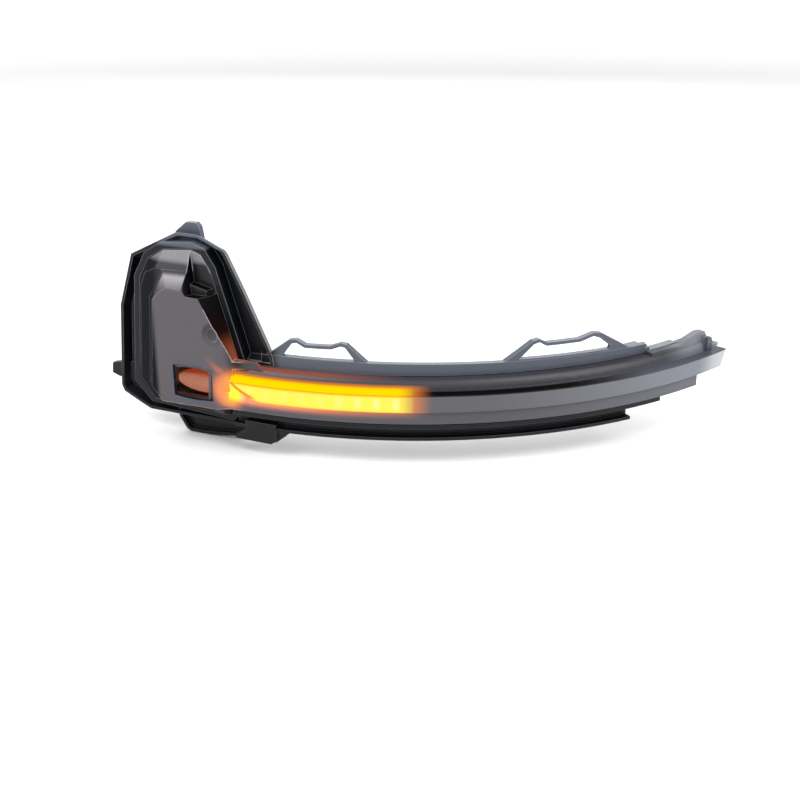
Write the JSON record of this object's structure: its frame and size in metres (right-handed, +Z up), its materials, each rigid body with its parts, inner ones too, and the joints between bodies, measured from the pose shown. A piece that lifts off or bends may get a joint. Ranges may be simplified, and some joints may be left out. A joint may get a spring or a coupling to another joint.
{
  "type": "mirror turn signal lamp",
  "caption": "Boot-shaped lamp head with a small amber window and a long curved light strip, in a black housing with clip loops, for the shell of a door mirror.",
  "frame": {"origin": "centre of the mouth of the main screw boss, behind the place where the strip leaves the head", "axes": "+Y rearwards along the main screw boss, into the mirror shell; +X from the head towards the strip; +Z up"},
  "size_m": [0.2403, 0.1272, 0.0897],
  "materials": {
    "smoked_lens": "glossy smoked clear",
    "satin_bezel": "satin silver paint",
    "window_frame": "satin",
    "black_housing": "fine grain",
    "seal": "matte",
    "amber_guide": "lit, translucent",
    "diffuser": "translucent",
    "led_package": "satin",
    "white_board": "satin",
    "carrier": "satin",
    "green_board": "satin",
    "black_component": "matte",
    "ceramic_component": "satin",
    "screw_steel": "bright",
    "ribbon": "satin",
    "tinned_contact": "bright",
    "membrane": "matte"
  },
  "bodies": {
    "root": {"outer_lens": "smoked_lens", "inner_bezel": "satin_bezel", "window_frame": "window_frame", "rear_housing": "black_housing", "lens_seal": "seal", "strip_light_guide": "amber_guide", "diffuser_film": "diffuser", "strip_leds": "led_package", "led_strip_board": "white_board", "led_carrier": "carrier", "window_light_guide": "amber_guide", "window_led": "led_package", "driver_board": "green_board", "driver_chip": "black_component", "chip_resistors": "black_component", "chip_capacitors": "ceramic_component", "protection_diode": "black_component", "power_inductor": "black_component", "board_screws": "screw_steel", "board_ribbon": "ribbon", "contact_pins": "tinned_contact", "vent_membrane": "membrane"}
  },
  "joints": []
}
